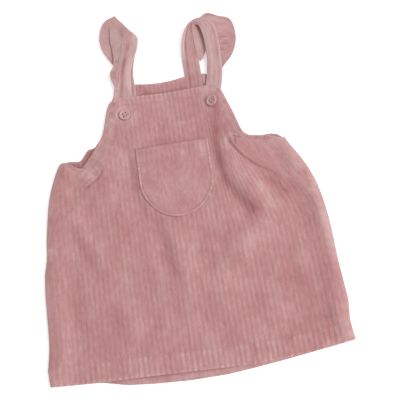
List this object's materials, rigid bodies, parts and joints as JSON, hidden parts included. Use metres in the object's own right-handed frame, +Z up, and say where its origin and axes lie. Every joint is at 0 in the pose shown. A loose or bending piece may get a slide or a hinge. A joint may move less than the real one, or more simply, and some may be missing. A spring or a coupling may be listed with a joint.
{
  "type": "pinafore dress",
  "caption": "Baby's pinafore dress in dusty-pink wide-rib velour, laid flat, with frilled straps buttoned to the bib, a patch pocket, L-shaped armholes and a hemmed A-line skirt.",
  "frame": {"origin": "on the surface the dress lies on, under the middle of its outline", "axes": "+Y up the garment from hem to straps, +X to the right as seen, +Z up out of the front"},
  "size_m": [0.3249, 0.454, 0.0145],
  "materials": {
    "rib_velour": "dusty-pink cotton velour with lengthwise ribs, soft nap, low sheen",
    "smooth_velour": "the same velour without ribs, soft nap, low sheen",
    "button": "satin moulded plastic, dyed to match"
  },
  "bodies": {
    "root": {"front_panel": "rib_velour", "back_panel": "rib_velour", "pocket": "rib_velour", "strap_left": "rib_velour", "strap_right": "rib_velour", "armhole_band_left": "smooth_velour", "armhole_band_right": "smooth_velour", "frill_left": "smooth_velour", "frill_right": "smooth_velour", "button_left": "button", "button_right": "button"}
  },
  "joints": []
}
